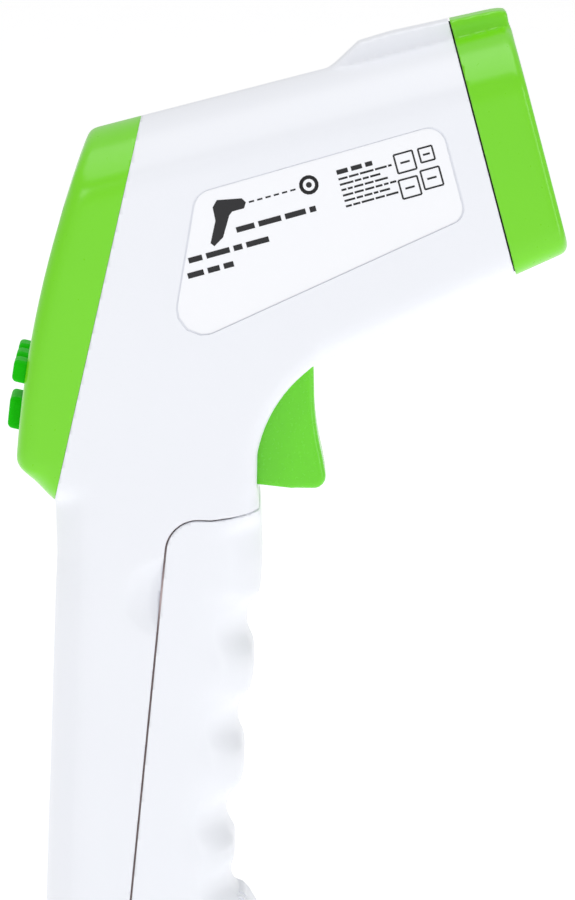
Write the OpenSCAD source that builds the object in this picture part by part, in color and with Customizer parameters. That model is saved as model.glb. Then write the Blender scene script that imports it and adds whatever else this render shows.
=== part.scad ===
// Pistol-grip infrared thermometer, modelled as the separate pieces it is put together from.
// Frame: +X is the way the nose points, +Z is up, and Y = 0 is the parting plane of the two shells.
// The origin is on the flat foot of the grip.

/* [Body] */
// Half of the body's width
half_w = 18.5; // [18:0.1:19]
// Wall of the shells
wall = 2.2; // [1.8:0.1:2.3]
// Radius of the crown across the top of the head
crown_r = 22; // [21:0.5:24]
// Width of the sight rib on top of the head
rib_w = 7; // [5:0.5:9]

/* [Nose] */
// Tilt of the nose face from the vertical
nose_lean = 14.9; // [14:0.1:16]
// Depth of the front cap behind the nose face
cap_d = 11.7; // [11:0.1:12.5]
// Diameter of the opening in the nose
nose_bore = 28; // [26:0.5:29]

/* [Rear] */
// Tilt of the seam between the shells and the rear bezel
seam_lean = 12.9; // [12.5:0.1:13.2]
// Radius of the rear face, seen from the side
rear_r = 230; // [220:5:240]
// How far the keys stand out of the rear face
key_out = 2.7; // [2.3:0.1:3]
// Travel of each key
key_travel = 1; // [0.5:0.1:1]

/* [Grip] */
// Tilt of the battery door's rear edge
door_lean = 5.8; // [5.4:0.1:6]
// Depth of the finger grooves
groove_d = 2.1; // [1.5:0.1:2.3]
// Gap all round the battery door
door_gap = 0.4; // [0.35:0.05:0.5]

/* [Trigger] */
// Width of the trigger
trigger_w = 13.6; // [12:0.2:14]

/* [Hidden] */
$fn = 72;
far = 220;
fit = 0.15;

// ---- places, as [x, z] in the side view
nose = [80.5, 173.3];        // centre of the nose face
top_pt = [20, 183];          // a point on the top line of the head
top_slope = 14.5;
belly_pt = [39.7, 130];      // a point on the underside of the head
belly_slope = 24.5;
seam_pt = [-10.1, 140];      // a point on the rear seam
rear_mid = [-22.4, 140.6];   // middle of the rear face
rear_mid_lean = 12.4;
tip = [-19.85, 97.3];        // lowest point of the rear bezel
chin = [-26.3, 106.8];       // where the rear face turns in towards the tip
back_top = [-19.1, 88.5];    // upper end of the straight back of the grip
back_foot = [-22.5, 0];      // its lower end
crest = [21.8, 64.2];        // a point on the line over the finger crests
crest_lean = 6.1;
front_x = 23.5;              // front of the grip above the grooves
throat_c = [50.6, 104.4];    // centre of the trigger recess
throat_r = 28.6;
throat_z = 101;              // lower end of the recess
toe_x = 22.6;                // front of the foot
foot_h = 7.6;                // height of the foot under the door
door_top = 95.8;
door_rear = [3.4, 86.1];     // a point on the door's rear edge
hinge = [18, 11.6];          // axis of the battery door
hinge_r = 4.9;               // the door's lower end turns inside this radius
pivot = [29.5, 130.5];       // axis of the trigger
edge_r = 7;                  // rounding along the long edges of the head
grip_back_r = 11;
grip_front_r = 15.5;
rear_c = rear_mid + rear_r * [cos(rear_mid_lean), -sin(rear_mid_lean)];
screw_at = [[53, 178.5], [62, 152], [7, 166], [3, 126], [-10.3, 93], [-11.3, 58], [-12.6, 20]];

// ---- colours
green = [0.53, 0.85, 0.29];
key_green = [0.20, 0.72, 0.10];
white = [0.94, 0.95, 0.97];
steel = [0.75, 0.76, 0.78];
brass = [0.80, 0.66, 0.35];
board = [0.05, 0.35, 0.20];
black = [0.08, 0.08, 0.09];

// ================= shared shapes =================

// Extrude a side view, given in x and z, over a span of y.
module side(y0, y1) {
    translate([0, y1, 0]) rotate([90, 0, 0]) linear_extrude(y1 - y0) children();
}

// A straight rod between two points.
module rod(a, b, r) {
    d = b - a;
    translate(a) rotate([0, acos(d[2] / norm(d)), atan2(d[1], d[0])]) cylinder(r = r, h = norm(d));
}

// A wire through a list of points, with ball joints at the bends.
module wire(pts, r) {
    for (i = [0 : len(pts) - 2]) rod(pts[i], pts[i + 1], r, $fn = 24);
    for (i = [1 : len(pts) - 2]) translate(pts[i]) sphere(r * 1.02, $fn = 24);
}

// A round wire swept along points with a fixed number of sides.
module swept_wire(path, r, sides = 8) {
    n = len(path);
    rings = [for (i = [0 : n - 1])
        let (a = path[max(i - 1, 0)], b = path[min(i + 1, n - 1)], t = (b - a) / norm(b - a),
             u0 = cross(t, [0.13, 0.21, 1]), u = u0 / norm(u0), v = cross(t, u))
        for (k = [0 : sides - 1]) path[i] + r * (cos(360 * k / sides) * u + sin(360 * k / sides) * v)];
    quads = [for (i = [0 : n - 2], k = [0 : sides - 1])
        let (k2 = (k + 1) % sides)
            [i * sides + k, i * sides + k2, (i + 1) * sides + k2, (i + 1) * sides + k]];
    ends = [[for (k = [sides - 1 : -1 : 0]) k], [for (k = [0 : sides - 1]) (n - 1) * sides + k]];
    polyhedron(rings, concat(quads, ends));
}

// Points of a coil along +Z that widens from r0 to r1.
function coil(r0, r1, h, turns, step = 24) =
    [for (a = [0 : step : 360 * turns]) let (t = a / (360 * turns), r = r0 + (r1 - r0) * t)
        [r * cos(a), r * sin(a), h * t]];

// Box with its centre in x and y on the origin, standing on z = 0.
module block(x, y, z) {
    translate([-x / 2, -y / 2, 0]) cube([x, y, z]);
}

// Rectangle in y and z with rounded corners, extruded along x from x0 to x1.
module pad(x0, x1, w, h, r) {
    translate([x0, 0, 0]) rotate([90, 0, 90]) linear_extrude(x1 - x0) union() {
        square([w - 2 * r, h], center = true);
        square([w, h - 2 * r], center = true);
        for (sx = [-1, 1], sy = [-1, 1]) translate([sx * (w / 2 - r), sy * (h / 2 - r)]) circle(r);
    }
}

// ---- frames
module nose_frame() {
    translate([nose[0], 0, nose[1]]) rotate([0, -nose_lean, 0]) children();
}

module rear_frame() {
    translate([seam_pt[0], 0, seam_pt[1]]) rotate([0, seam_lean, 0]) children();
}

// The battery tray leans with the grip.
grip_tilt = 4;

module grip_frame() {
    rotate([0, grip_tilt, 0]) children();
}

// ================= outer form =================

// Section across an edge: n is the outward direction, with both corners rounded. Below the corners it
// is wider than the body, whose flat sides are cut once for the whole form.
module plain_section(inset, r, span) {
    w = half_w - inset;
    q = max(r - inset, 0.5);
    union() {
        translate([-far, -span]) square([far - q, 2 * span]);
        translate([-far, q - w]) square([far, 2 * (w - q)]);
        for (s = [-1, 1]) translate([-q, s * (w - q)]) circle(q);
    }
}

// Section across the top: a crown that runs smoothly into rounded corners.
module crown_section(inset, span) {
    w = half_w - inset;
    q = edge_r - inset;
    c = crown_r - inset;
    y = w - q;
    n = sqrt((c - q) * (c - q) - y * y) - c;
    a = atan2(y, n + c);
    union() {
        translate([-far, -span]) square([far + n, 2 * span]);
        for (s = [-1, 1]) translate([n, s * y]) circle(q);
        intersection() {
            translate([-c, 0]) circle(c);
            polygon([[-c, 0], far * [cos(a), sin(a)] - [c, 0], far * [cos(a), -sin(a)] - [c, 0]]);
        }
    }
}

// Half space under the line through p with the given direction, with the child as its section.
module under_line(p, dir, inset) {
    translate([p[0], 0, p[1]]) rotate([0, -dir, 0]) translate([-far, 0, -inset])
        rotate([0, 90, 0]) rotate([0, 0, 180]) linear_extrude(2 * far) children();
}

// Everything inside the curved rear face.
module rear_round(inset, span = 44, r = 5) {
    w = half_w - inset;
    q = max(r - inset, 0.5);
    outer = rear_r - inset;
    translate([rear_c[0], 0, rear_c[1]]) rotate([90, 0, 0]) rotate([0, 0, 140])
        rotate_extrude(angle = 80, $fn = 180) union() {
            translate([60, -span]) square([outer - q - 60, 2 * span]);
            translate([60, q - w]) square([outer - 60, 2 * (w - q)]);
            for (s = [-1, 1]) translate([outer - q, s * (w - q)]) circle(q, $fn = 48);
        }
}

module head_form(inset) {
    chin_dir = atan2(chin[1] - tip[1], chin[0] - tip[0]);
    intersection() {
        under_line(top_pt, top_slope, inset) crown_section(inset, 40);
        union() {
            under_line(belly_pt, 180 + belly_slope, inset) plain_section(inset, edge_r, 41);
            translate([-60, -41.5, tip[1] + inset]) cube([50, 83, 30]);
        }
        under_line(nose, -90 + nose_lean, inset) plain_section(inset, 2, 42);
        under_line(tip, chin_dir, inset) plain_section(inset, 4.2, 43);
        rear_round(inset);
    }
}

module grip_form(inset) {
    back_dir = atan2(back_top[1] - back_foot[1], back_top[0] - back_foot[0]);
    intersection() {
        under_line(back_top, back_dir, inset) plain_section(inset, grip_back_r, 45);
        under_line(crest, -90 - crest_lean, inset) plain_section(inset, grip_front_r, 46);
        under_line([front_x, 90], -90, inset) plain_section(inset, grip_front_r, 47);
        translate([-60, -50, inset]) cube([120, 100, 122 - 2 * inset]);
    }
}

// The back of the grip swells a little up to the tip of the bezel.
module neck_form(inset) {
    neck_dir = atan2(tip[1] - back_top[1], tip[0] - back_top[0]);
    intersection() {
        under_line(tip, neck_dir, inset) plain_section(inset, grip_back_r, 48);
        side(-49, 49) polygon([[-40, back_top[1] - 6], [0, back_top[1] - 6], [0, tip[1] + 0.5 - inset],
            [-40, tip[1] + 0.5 - inset]]);
    }
}

// The foot flares forward into a toe.
module toe_form(inset) {
    intersection() {
        side(-38, 38) polygon([[-10, inset], [toe_x + 4, inset], [toe_x + 4, 9.6], [toe_x - inset, 9.6],
            [21.3 - inset, 12.4], [17 - inset, 16.2], [12 - inset, 24], [-10, 24]]);
        under_line([toe_x, 5], -90, inset) plain_section(inset, grip_front_r, 39);
    }
}

// Material behind the trigger, between the grip and the underside of the head.
module throat_form(inset) {
    side(-37, 37)
        polygon([[0, throat_z - 12], [front_x - inset - 1.2, throat_z - 6], [front_x - 1.2, throat_z],
            [35.4 - inset, 128.2], [34.4, 137], [10, 137], [0, 120]]);
}

// What the trigger recess takes away, with its side edges rounded over.
module throat_cut(inset) {
    r = throat_r + inset;
    q = 4;
    w = half_w - inset;
    intersection() {
        translate([throat_c[0], 0, throat_c[1]]) rotate([90, 0, 0]) rotate_extrude() union() {
            translate([0, -55]) square([r, 110]);
            for (s = [0, 1]) mirror([0, s]) difference() {
                translate([0, w - q]) square([r + q, 45]);
                translate([r + q, w - q]) circle(q, $fn = 48);
            }
        }
        translate([-60, -65, throat_z - inset]) cube([160, 130, 60]);
    }
}

// Raised sight rib along the front of the top line.
module rib_form(inset) {
    side(inset - rib_w / 2, rib_w / 2 - inset)
        polygon([[36, 180], [37.7, 187.6], [43.6, 193.1 - inset], [46, 193.8 - inset], [71.7, 199.9 - inset],
            [72.9 - inset, 199.2 - inset], [74 - inset, 195.2], [74 - inset, 188]]);
}

// The whole body as one solid, set in by a distance on every side.
module body_form(inset) {
    w = half_w - inset - 0.01;
    intersection() {
        difference() {
            union() {
                head_form(inset);
                grip_form(inset);
                neck_form(inset);
                toe_form(inset);
                throat_form(inset);
            }
            throat_cut(inset);
        }
        translate([-80, -w, -10]) cube([200, 2 * w, 240]);
    }
    if (inset == 0) rib_form(0);
}

module skin(t) {
    difference() {
        body_form(0);
        body_form(t);
    }
}

// ---- regions that share the body out between its pieces
module ahead_of_seam(x) {
    nose_frame() translate([x, -60, -60]) cube([60, 120, 130]);
}

module behind_rear_seam(x) {
    rear_frame() translate([x - 60, -60, -43]) cube([60, 120, 100]);
}

// Points along an arc, from angle a0 to a1.
function arc(c, r, a0, a1, n = 8) =
    [for (i = [0 : n]) let (a = a0 + (a1 - a0) * i / n) c + r * [cos(a), sin(a)]];

// Outline of the battery door in the side view, grown by g.
module door_outline(g) {
    low = foot_h + door_gap - g;
    top = door_top + g;
    corner = 6.5 + g;
    foot_corner = 3.5 + g;
    // centre of a corner that touches the rear edge and sits at height z
    function centre(z, r) =
        [door_rear[0] + (z - door_rear[1]) * tan(door_lean) + (r - g) / cos(door_lean), z];
    upper = centre(top - corner, corner);
    lower = centre(low + foot_corner, foot_corner);
    polygon(concat(
        arc(lower, foot_corner, 270, 180 - door_lean, 5),
        arc(upper, corner, 180 - door_lean, 90),
        [[60, top + 1.5], [60, hinge[1]], [hinge[0] + hinge_r + g, hinge[1]]],
        arc(hinge, hinge_r + g, -9, -90)));
}

// Finger grooves: rings that wrap round the front of the grip and fade out on its sides, grown by g.
module finger_grooves(g) {
    reach = 26.5;
    tube = 7.2;
    for (z = [71.6, 51.2, 31.2]) {
        line_x = crest[0] + (z - crest[1]) * tan(crest_lean);
        translate([line_x - groove_d - reach, 0, z]) rotate_extrude($fn = 96)
            translate([reach + tube, 0]) circle(tube + g, $fn = 48);
    }
}

// ================= casing =================

// Label recess on the right side, set in by g.
module label_outline(g) {
    corners = [[9.7, 163.9, 4.2], [60.1, 178.3, 3.7], [65.3, 158.9, 3.3], [4.3, 130.8, 5.4]];
    mid = [35, 158];
    hull() for (c = corners) {
        p = [c[0], c[1]];
        d = (mid - p) / norm(mid - p);
        translate(p + d * (c[2] * 1.35 + g)) circle(c[2], $fn = 32);
    }
}

label_depth = 0.4;

boss_end = half_w - 1.5;     // bosses end inside the walls

module screw_bosses() {
    for (p = screw_at) translate([p[0], boss_end, p[1]]) rotate([90, 0, 0])
        cylinder(r = 3.3, h = 2 * boss_end);
}

// Floor of the foot, with corners that follow the grip
module foot_plate() {
    back = [-10.8, 7.2, 10.4];
    front = [7.1, 3, 14.8];
    linear_extrude(foot_h - 3.2) union() {
        translate([back[0], -back[1] - back[2]]) square([front[0] - back[0], 2 * (back[1] + back[2])]);
        translate([back[0] - back[2], -back[1]])
            square([front[0] - back[0] + back[2] + front[2], 2 * back[1]]);
        translate([front[0], -front[1]]) square([front[2], 2 * front[1]]);
        for (s = [-1, 1]) {
            translate([back[0], s * back[1]]) circle(back[2]);
            translate([front[0], s * front[1]]) circle(front[2]);
        }
    }
}

// Two lugs on the foot that hold the battery door's pin
lug_y = [4, 7];
lug_r = 2.1;
lug_clear = 3.8;     // the door's slots keep this far from the pin's axis

module hinge_lugs() {
    for (s = [0, 1]) mirror([0, s, 0]) side(lug_y[0], lug_y[1]) union() {
        polygon([[hinge[0] - lug_r, hinge[1]], [hinge[0] - 4, 1],
            [hinge[0] + 1, 1], [hinge[0] + lug_r, hinge[1]]]);
        translate(hinge) circle(lug_r);
    }
}

// Bosses on the side walls that carry the trigger's pin
module pivot_bosses() {
    for (s = [0, 1]) mirror([0, s, 0]) translate([pivot[0], boss_end, pivot[1]]) rotate([90, 0, 0])
        cylinder(r = 3.2, h = boss_end - 8);
}

// Both shells before they are parted
module shells() {
    difference() {
        union() {
            difference() {
                union() {
                    difference() {
                        skin(wall);
                        side(-60, 60) door_outline(door_gap);
                    }
                    translate([0, 0, 0.4]) foot_plate();
                    pivot_bosses();
                    screw_bosses();
                }
                side(-60, 60) translate(hinge) circle(hinge_r + door_gap);
            }
            hinge_lugs();
        }
        ahead_of_seam(-cap_d - 0.35);
        behind_rear_seam(0);
        translate([hinge[0], 10, hinge[1]]) rotate([90, 0, 0]) cylinder(r = 1, h = 20);
        translate([pivot[0], 14, pivot[1]]) rotate([90, 0, 0]) cylinder(r = 1.25, h = 28);
        // slot for the trigger
        side(-trigger_w / 2 - 0.4, trigger_w / 2 + 0.4)
            polygon([[16, throat_z - 0.1], [40, throat_z - 0.1], [40, 126],
                [pivot[0] + 8, 134.5], [16, 134.5]]);
        // dishes for thumb and finger beside the door
        for (s = [-1, 1]) translate([2.8, s * (half_w + 22.4), 79.9]) sphere(24.1, $fn = 96);
    }
}

module right_shell() color(white) difference() {
    intersection() {
        shells();
        translate([-60, -60, -1]) cube([160, 60, 220]);
    }
    side(-60, label_depth - half_w) label_outline(0);
    for (p = screw_at) translate([p[0], 1, p[1]]) rotate([90, 0, 0]) cylinder(r = 1.1, h = 10);
}

module left_shell() color(white) difference() {
    intersection() {
        shells();
        translate([-60, 0, -1]) cube([160, 60, 220]);
    }
    for (p = screw_at) {
        translate([p[0], 40, p[1]]) rotate([90, 0, 0]) cylinder(r = 1.45, h = 41);
        translate([p[0], half_w + 1, p[1]]) rotate([90, 0, 0]) cylinder(r = 2.7, h = 10);
    }
}

module case_screws() color(steel) for (p = screw_at) translate([p[0], 0, p[1]]) {
    difference() {
        translate([0, half_w - 6.6, 0]) rotate([90, 0, 0]) cylinder(r = 2.5, h = 2.3);
        translate([0, half_w - 6.5, 0]) rotate([90, 0, 0]) block(0.8, 3, 1.4);
        translate([0, half_w - 6.5, 0]) rotate([90, 0, 0]) block(3, 0.8, 1.4);
    }
    translate([0, half_w - 8.8, 0]) rotate([90, 0, 0]) cylinder(r = 1.05, h = half_w - 1);
}

module side_label() color([0.97, 0.98, 0.99])
    side(label_depth - half_w - 0.2, label_depth - half_w - 0.02) label_outline(0.5);

// Tabs on both sides that reach inside the shells from a cap or bezel; x grows towards the shells.
module side_tabs(reach, h) {
    for (s = [0, 1]) mirror([0, s, 0]) {
        translate([-3, half_w - wall - 1.3, -h / 2]) cube([reach + 3, 1.15, h]);
        translate([-3, half_w - wall - 1.3, -h / 2]) cube([2.7, 1.5, h]);
    }
}

// ---- front cap
module front_cap() color(green) difference() {
    union() {
        intersection() {
            skin(wall);
            ahead_of_seam(-cap_d);
        }
        nose_frame() translate([-cap_d, 0, -3]) rotate([0, 0, 180]) side_tabs(3.5, 22);
    }
    nose_frame() translate([-20, 0, 0]) rotate([0, 90, 0]) cylinder(r = nose_bore / 2, h = 30);
}

// Dark strip that shows in the gap between the front cap and the shells
module nose_gasket() color(black) intersection() {
    difference() {
        body_form(0.7);
        body_form(wall - 0.1);
    }
    nose_frame() translate([-cap_d - 0.33, -40, -50]) cube([0.31, 80, 100]);
}

// ---- rear bezel
window_w = 24;
window_h = 27;
window_z = 4;
key_rows = [-16.95, -27.1];
key_size = [[7, 4.6], [12, 6.6]];
key_pitch = 11;
seat = [8.5, 7.75];         // depth of the key flanges behind the seam plane

module key_pad(row, x0, x1, g) {
    translate([0, 0, key_rows[row]])
        pad(x0, x1, key_size[row][0] + 2 * g, key_size[row][1] + 2 * g, 1.1 + g);
}

module rear_bezel() color(green) difference() {
    union() {
        intersection() {
            skin(wall);
            behind_rear_seam(-0.05);
        }
        rear_frame() translate([-0.1, 0, -8]) side_tabs(3, 24);
    }
    rear_frame() {
        translate([0, 0, window_z]) pad(-30, -5, window_w - 4, window_h - 4, 1.5);
        for (i = [-1, 0, 1]) translate([0, i * key_pitch, 0]) key_pad(0, -30, -5, 0.25);
        key_pad(1, -30, -5, 0.25);
    }
    intersection() {
        rear_frame() translate([0, 0, window_z]) pad(-30, -5, window_w, window_h, 2.5);
        difference() {
            rear_round(-5);
            rear_round(1.3);
        }
    }
}

module lcd_window() color([0.12, 0.13, 0.14]) intersection() {
    rear_frame() translate([0, 0, window_z]) pad(-30, -5, window_w - 2 * fit, window_h - 2 * fit, 2.4);
    difference() {
        rear_round(0.25);
        rear_round(1.25);
    }
}

// ================= display and main board =================
lcd_mid = 4.2;
lcd_h = 31.4;
lcd_w = 27;
board_x = -3.2;              // rear side of the main board, measured from the seam plane

module lcd_frame() color(black) rear_frame() translate([0, 0, lcd_mid]) difference() {
    pad(-7.4, board_x - 0.02, lcd_w + 3, lcd_h + 3, 1.2);
    translate([-9, -lcd_w / 2 - 0.1, -lcd_h / 2 - 0.1]) cube([10, lcd_w + 0.2, lcd_h + 0.2]);
}

module lcd_panel() color([0.62, 0.68, 0.60]) rear_frame()
    translate([-7.25, -lcd_w / 2, lcd_mid - lcd_h / 2]) union() {
        cube([1.05, lcd_w, lcd_h]);
        translate([1.05, 0, 0]) cube([1.05, lcd_w, lcd_h - 2]);
    }

module lcd_backlight() color([0.9, 0.95, 0.9]) rear_frame()
    translate([-5.1, -lcd_w / 2 + 0.5, lcd_mid - lcd_h / 2 + 2.8]) cube([1.8, lcd_w - 1, lcd_h - 5.6]);

module zebra_strips() color([0.25, 0.25, 0.28]) rear_frame() for (s = [-1, 1])
    translate([-5.1, -lcd_w / 2 + 1, lcd_mid + s * (lcd_h / 2 - 1.4) - 0.9]) cube([1.85, lcd_w - 2, 1.8]);

module main_pcb() color(board) rear_frame() difference() {
    translate([board_x, -14.3, -34]) cube([1.6, 28.6, 55.3]);
    for (p = pcb_screw_at) translate([board_x - 1, p[0], p[1]]) rotate([0, 90, 0]) cylinder(r = 1.1, h = 4);
}

pcb_screw_at = [[-12, -21.8], [12, -21.8]];

module pcb_screws() color(steel) rear_frame() for (p = pcb_screw_at) translate([board_x, p[0], p[1]]) {
    translate([-0.03, 0, 0]) rotate([0, -90, 0]) cylinder(r = 1.6, h = 0.9, $fn = 48);
    translate([-0.1, 0, 0]) rotate([0, 90, 0]) cylinder(r = 0.95, h = 4.2, $fn = 48);
}

module mcu_chip() color(black) rear_frame() translate([board_x + 1.65, -5, -4]) cube([1.4, 10, 10]);

// Small parts on the inner side of the board
module smd_parts() color([0.55, 0.42, 0.25]) rear_frame() for (i = [0 : 5], s = [-1, 1])
    translate([board_x + 1.62, s * 9.5 - 0.8, -10 + 4.4 * i]) cube([0.8, 1.6, 0.9 + 0.3 * (i % 2)]);

module buzzer() color(black) rear_frame() translate([board_x + 1.65, 0, -17]) rotate([0, 90, 0])
difference() {
    cylinder(r = 4.5, h = 4.2);
    translate([0, 0, 3.4]) cylinder(r = 0.9, h = 2);
}

module cable_plugs() color([0.93, 0.9, 0.82]) rear_frame() for (y = [-7.5, 7.5])
    translate([board_x + 1.65, y - 3, -29.5]) cube([4, 6, 5]);

// Four key switches with a bore that guides each actuator
module tact_switches() color([0.15, 0.15, 0.16]) rear_frame()
    for (k = [[-key_pitch, 0], [0, 0], [key_pitch, 0], [0, 1]])
        translate([board_x - 0.02, k[0], key_rows[k[1]]]) difference() {
            translate([-2.5, -3, -3]) cube([2.5, 6, 6]);
            translate([-0.45, 0, 0]) rotate([0, -90, 0]) cylinder(r = 1.65, h = 5);
        }

module actuator(y, row) color(black) rear_frame()
    translate([-4.8, y, key_rows[row]]) rotate([0, -90, 0])
        cylinder(r = 1.6, h = seat[row] - 1 - 4.8 - 0.03);

module actuator_left() actuator(key_pitch, 0);
module actuator_center() actuator(0, 0);
module actuator_right() actuator(-key_pitch, 0);
module actuator_set() actuator(0, 1);

// A key: cap through the bezel, following its curve, with a flange behind the wall.
module key(y, row) color(key_green) union() {
    intersection() {
        rear_frame() translate([0, y, 0]) key_pad(row, -30, 0.5 - seat[row], 0);
        rear_round(-key_out);
    }
    rear_frame() translate([0, y, 0]) key_pad(row, -seat[row], 1 - seat[row], 0.6);
}

module button_left() key(key_pitch, 0);
module button_center() key(0, 0);
module button_right() key(-key_pitch, 0);
module button_set() key(0, 1);

// ================= trigger =================
module trigger_profile() {
    difference() {
        union() {
            polygon([[21.2, 101.4], [34.5, 100.6], [36.1, 101.1], [36.9, 102.4], [36.8, 103.8], [38, 128],
                [33, 127.5], [pivot[0] + 3.2, pivot[1]], [pivot[0] - 3.2, pivot[1]],
                [25, 126], [19.8, 116], [18.6, 106]]);
            translate(pivot) circle(3.2);
        }
        translate([96.55, 121.8]) circle(62.4, $fn = 240);
        translate([34.15, 118.5]) square([8, 14]);
    }
}

module trigger() color([0.46, 0.83, 0.2]) difference() {
    union() {
        difference() {
            side(-trigger_w / 2, trigger_w / 2) trigger_profile();
            // hollow at the back
            side(2.2 - trigger_w / 2, trigger_w / 2 - 2.2)
                polygon([[10, 104], [26, 104], [28.5, 110], [28, 120], [24, 124], [10, 124]]);
        }
        // boss that presses the switch
        translate([24, 0, 108]) rotate([0, -90, 0]) cylinder(r = 2, h = 6.4);
        translate([28, -1.4, 106]) rotate([0, -90, 0]) cube([4, 2.8, 9]);
    }
    translate([pivot[0], 20, pivot[1]]) rotate([90, 0, 0]) cylinder(r = 1.3, h = 40);
    // room for the spring's coil
    side(-2.6, 2.6) translate(pivot) circle(4.2);
}

module trigger_pin() color(steel) translate([pivot[0], 13.9, pivot[1]]) rotate([90, 0, 0])
    cylinder(r = 1.25, h = 27.8);

module trigger_spring() color(steel) {
    turns = coil(2, 2, 3.6, 4);
    body = [for (p = turns) [pivot[0] + p[0], p[2] - 1.8, pivot[1] + p[1]]];
    front_leg = [[pivot[0] + 2.05, -1.8, pivot[1] - 1.2], [pivot[0] + 1.95, -1.8, pivot[1] - 3.1]];
    rear_leg = [[pivot[0] + 1.6, 1.8, pivot[1] + 1.2], [pivot[0] - 4, 1.8, pivot[1] + 4.2]];
    swept_wire(concat([front_leg[1], front_leg[0]], body, rear_leg), 0.3);
}

module trigger_switch() color([0.1, 0.1, 0.12]) {
    side(-3, 3) polygon([[6.6, 102], [12.4, 102], [12.4, 114.8], [6.6, 114.8]]);
    translate([12.3, 0, 108]) rotate([0, 90, 0]) cylinder(r = 1.2, h = 1);
}

module trigger_cable() color([0.2, 0.2, 0.22])
    for (y = [-1.2, 1.2]) wire([[7, y, 115], [6, y, 119], [-4, y - 5, 117], [-13.2, y - 7.5, 113]], 0.55);

// ================= sensor =================
module sensor_shroud() color([0.12, 0.12, 0.13]) nose_frame() rotate([0, 90, 0]) difference() {
    union() {
        translate([0, 0, -12]) cylinder(r = nose_bore / 2 - fit, h = 11.6);
        translate([0, 0, -wall - 1.4]) cylinder(r = nose_bore / 2 + 1.6, h = 1.35);
        for (s = [-1, 1]) translate([s * 10.5, 0, -14.5]) cylinder(r = 2, h = 4);
    }
    translate([0, 0, -10]) cylinder(r1 = 6.2, r2 = nose_bore / 2 - 1.2, h = 9.65);
    translate([0, 0, -0.4]) cylinder(r = nose_bore / 2 - 1.2, h = 3);
    translate([0, 0, -20]) cylinder(r = 6.2, h = 12);
    for (s = [-1, 1]) translate([s * 10.5, 0, -15]) cylinder(r = 0.8, h = 6);
}

module sensor_gasket() color(black) nose_frame() rotate([0, 90, 0]) translate([0, 0, -13.1]) difference() {
    cylinder(r = 7.6, h = 1.05);
    translate([0, 0, -1]) cylinder(r = 5.2, h = 4);
}

module sensor_holder() color(brass) nose_frame() rotate([0, 90, 0]) difference() {
    union() {
        translate([0, 0, -27]) cylinder(r = 7.5, h = 13.85);
        translate([0, 0, -16.6]) intersection() {
            cylinder(r = 13, h = 2);
            translate([-14, -4, 0]) cube([28, 8, 2]);
        }
    }
    translate([0, 0, -30]) cylinder(r = 4.2, h = 40);
    translate([0, 0, -30]) cylinder(r = 4.75, h = 10.6);
    for (s = [-1, 1]) translate([s * 10.5, 0, -20]) cylinder(r = 1.1, h = 10);
}

module holder_screws() color(steel) nose_frame() rotate([0, 90, 0])
for (s = [-1, 1]) translate([s * 10.5, 0, 0]) {
    translate([0, 0, -18.2]) cylinder(r = 1.9, h = 1.55, $fn = 48);
    translate([0, 0, -16.7]) cylinder(r = 0.78, h = 6, $fn = 48);
}

module thermopile_can() color(steel) nose_frame() rotate([0, 90, 0]) difference() {
    union() {
        translate([0, 0, -19.5]) cylinder(r = 4.1, h = 3.6);
        translate([0, 0, -20.4]) cylinder(r = 4.6, h = 0.9);
    }
    translate([0, 0, -17]) cylinder(r = 2.5, h = 5);
}

module infrared_window() color([0.35, 0.33, 0.38]) nose_frame() rotate([0, 90, 0])
    translate([0, 0, -16.98]) cylinder(r = 2.45, h = 0.6);

module thermopile_pins() color(brass) nose_frame() rotate([0, 90, 0]) for (a = [45 : 90 : 315])
    rotate([0, 0, a]) translate([2.54, 0, -30.4]) cylinder(r = 0.23, h = 9.98, $fn = 24);

module sensor_pcb() color(board) nose_frame() difference() {
    translate([-29, -8, -9]) cube([1.4, 16, 18]);
    rotate([0, 90, 0]) for (a = [45 : 90 : 315]) rotate([0, 0, a]) translate([2.54, 0, -32])
        cylinder(r = 0.28, h = 9);
}

module sensor_cable() color([0.75, 0.75, 0.78]) {
    start = [nose[0] - 29.3 * cos(nose_lean) + 6 * sin(nose_lean),
        nose[1] - 29.3 * sin(nose_lean) - 6 * cos(nose_lean)];
    for (i = [0 : 3]) wire([[start[0], 1.4 * i - 2.1, start[1]], [start[0] - 6, 1.4 * i - 2, start[1] - 4],
        [22, 1.4 * i + 3, 144], [-4, 1.4 * i + 5.4, 132], [-13.2, 1.4 * i + 5.4, 113.2]], 0.5);
}

// ================= battery compartment =================
cell_r = 5.2;
cell_y = 5.6;
cell_x = 3;
bay = [24, 73.2];            // lower and upper end of the compartment
spring_h = 3.9;
cell_len = 44.5;

module battery_tray() color([0.3, 0.31, 0.33]) grip_frame() difference() {
    translate([cell_x - 7, -12.3, bay[0] - 1.6]) cube([10, 24.6, bay[1] - bay[0] + 3.2]);
    translate([cell_x - 5.5, -11.1, bay[0]]) cube([20, 22.2, bay[1] - bay[0]]);
}

module cell(y, up) grip_frame()
    translate([cell_x, y, bay[0] + 0.42 + (up ? spring_h : cell_len)]) mirror([0, 0, up ? 0 : 1]) union() {
        cylinder(r = cell_r, h = cell_len - 1.3);
        cylinder(r = 1.9, h = cell_len - 0.05);
    }

module battery_left() color([0.20, 0.32, 0.55]) cell(cell_y, true);
module battery_right() color([0.20, 0.32, 0.55]) cell(-cell_y, false);

module bridge_contact() color(steel) grip_frame()
    translate([cell_x - 4, -10, bay[0] + 0.02]) cube([8, 20, 0.35]);

module plus_contact() color(steel) grip_frame()
    translate([cell_x - 4, cell_y - 4, bay[1] - 0.37]) cube([8, 8, 0.35]);

module minus_contact() color(steel) grip_frame()
    translate([cell_x - 4, -cell_y - 4, bay[1] - 0.37]) cube([8, 8, 0.35]);

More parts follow.
